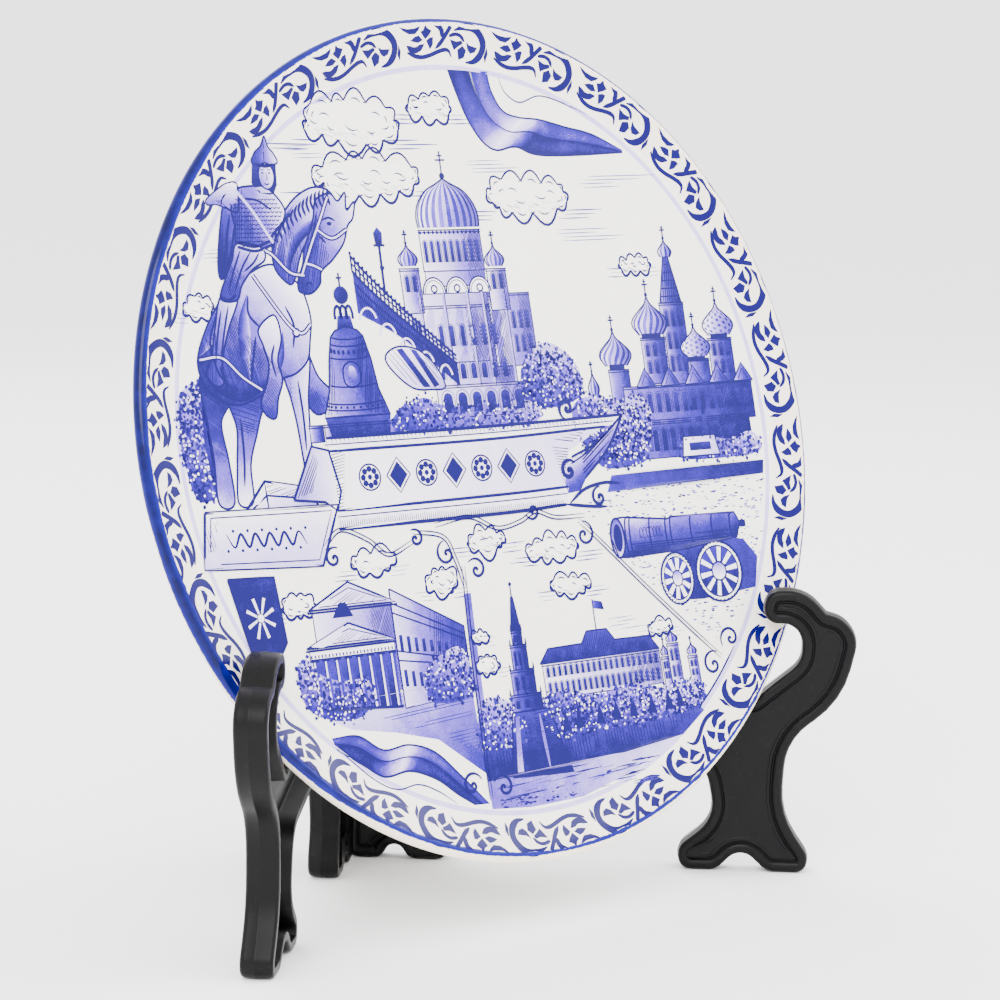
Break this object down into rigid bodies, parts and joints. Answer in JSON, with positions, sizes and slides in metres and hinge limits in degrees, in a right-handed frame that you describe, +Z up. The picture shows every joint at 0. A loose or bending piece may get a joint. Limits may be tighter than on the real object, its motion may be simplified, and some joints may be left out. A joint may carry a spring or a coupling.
{
  "type": "souvenir plate",
  "caption": "Round glazed plate with a printed picture, standing on a black plastic easel whose two wings fold together about a hinge at the back.",
  "frame": {"origin": "on the ground under the middle of the object's bounding box", "axes": "+Z up, the plate faces -Y, +X to the right as seen from the front"},
  "size_m": [0.2, 0.0934, 0.2093],
  "materials": {
    "glazed_plate": "gloss",
    "black_plastic": "satin",
    "pin_steel": "satin"
  },
  "bodies": {
    "hinge": {"hinge_pin": "pin_steel"},
    "plate": {"plate": "glazed_plate"},
    "left_wing": {"left_wing": "black_plastic"},
    "right_wing": {"right_wing": "black_plastic"}
  },
  "joints": [
    {"name": "plate_lift", "type": "slide", "parent": "hinge", "child": "plate", "axis": [0, 0, 1], "range_m": [0, 0.225]},
    {"name": "left_fold", "type": "hinge", "parent": "hinge", "child": "left_wing", "pos_m": [0, 0.03959, 0.043], "axis": [0, 0, 1], "range_deg": [0, 46]},
    {"name": "right_fold", "type": "hinge", "parent": "hinge", "child": "right_wing", "pos_m": [0, 0.03959, 0.043], "axis": [0, 0, -1], "range_deg": [0, 46]}
  ],
  "couplings": [
    {"joint": "left_fold", "follows": "plate_lift", "rad_per_m": 3.568},
    {"joint": "right_fold", "follows": "plate_lift", "rad_per_m": 3.568}
  ]
}
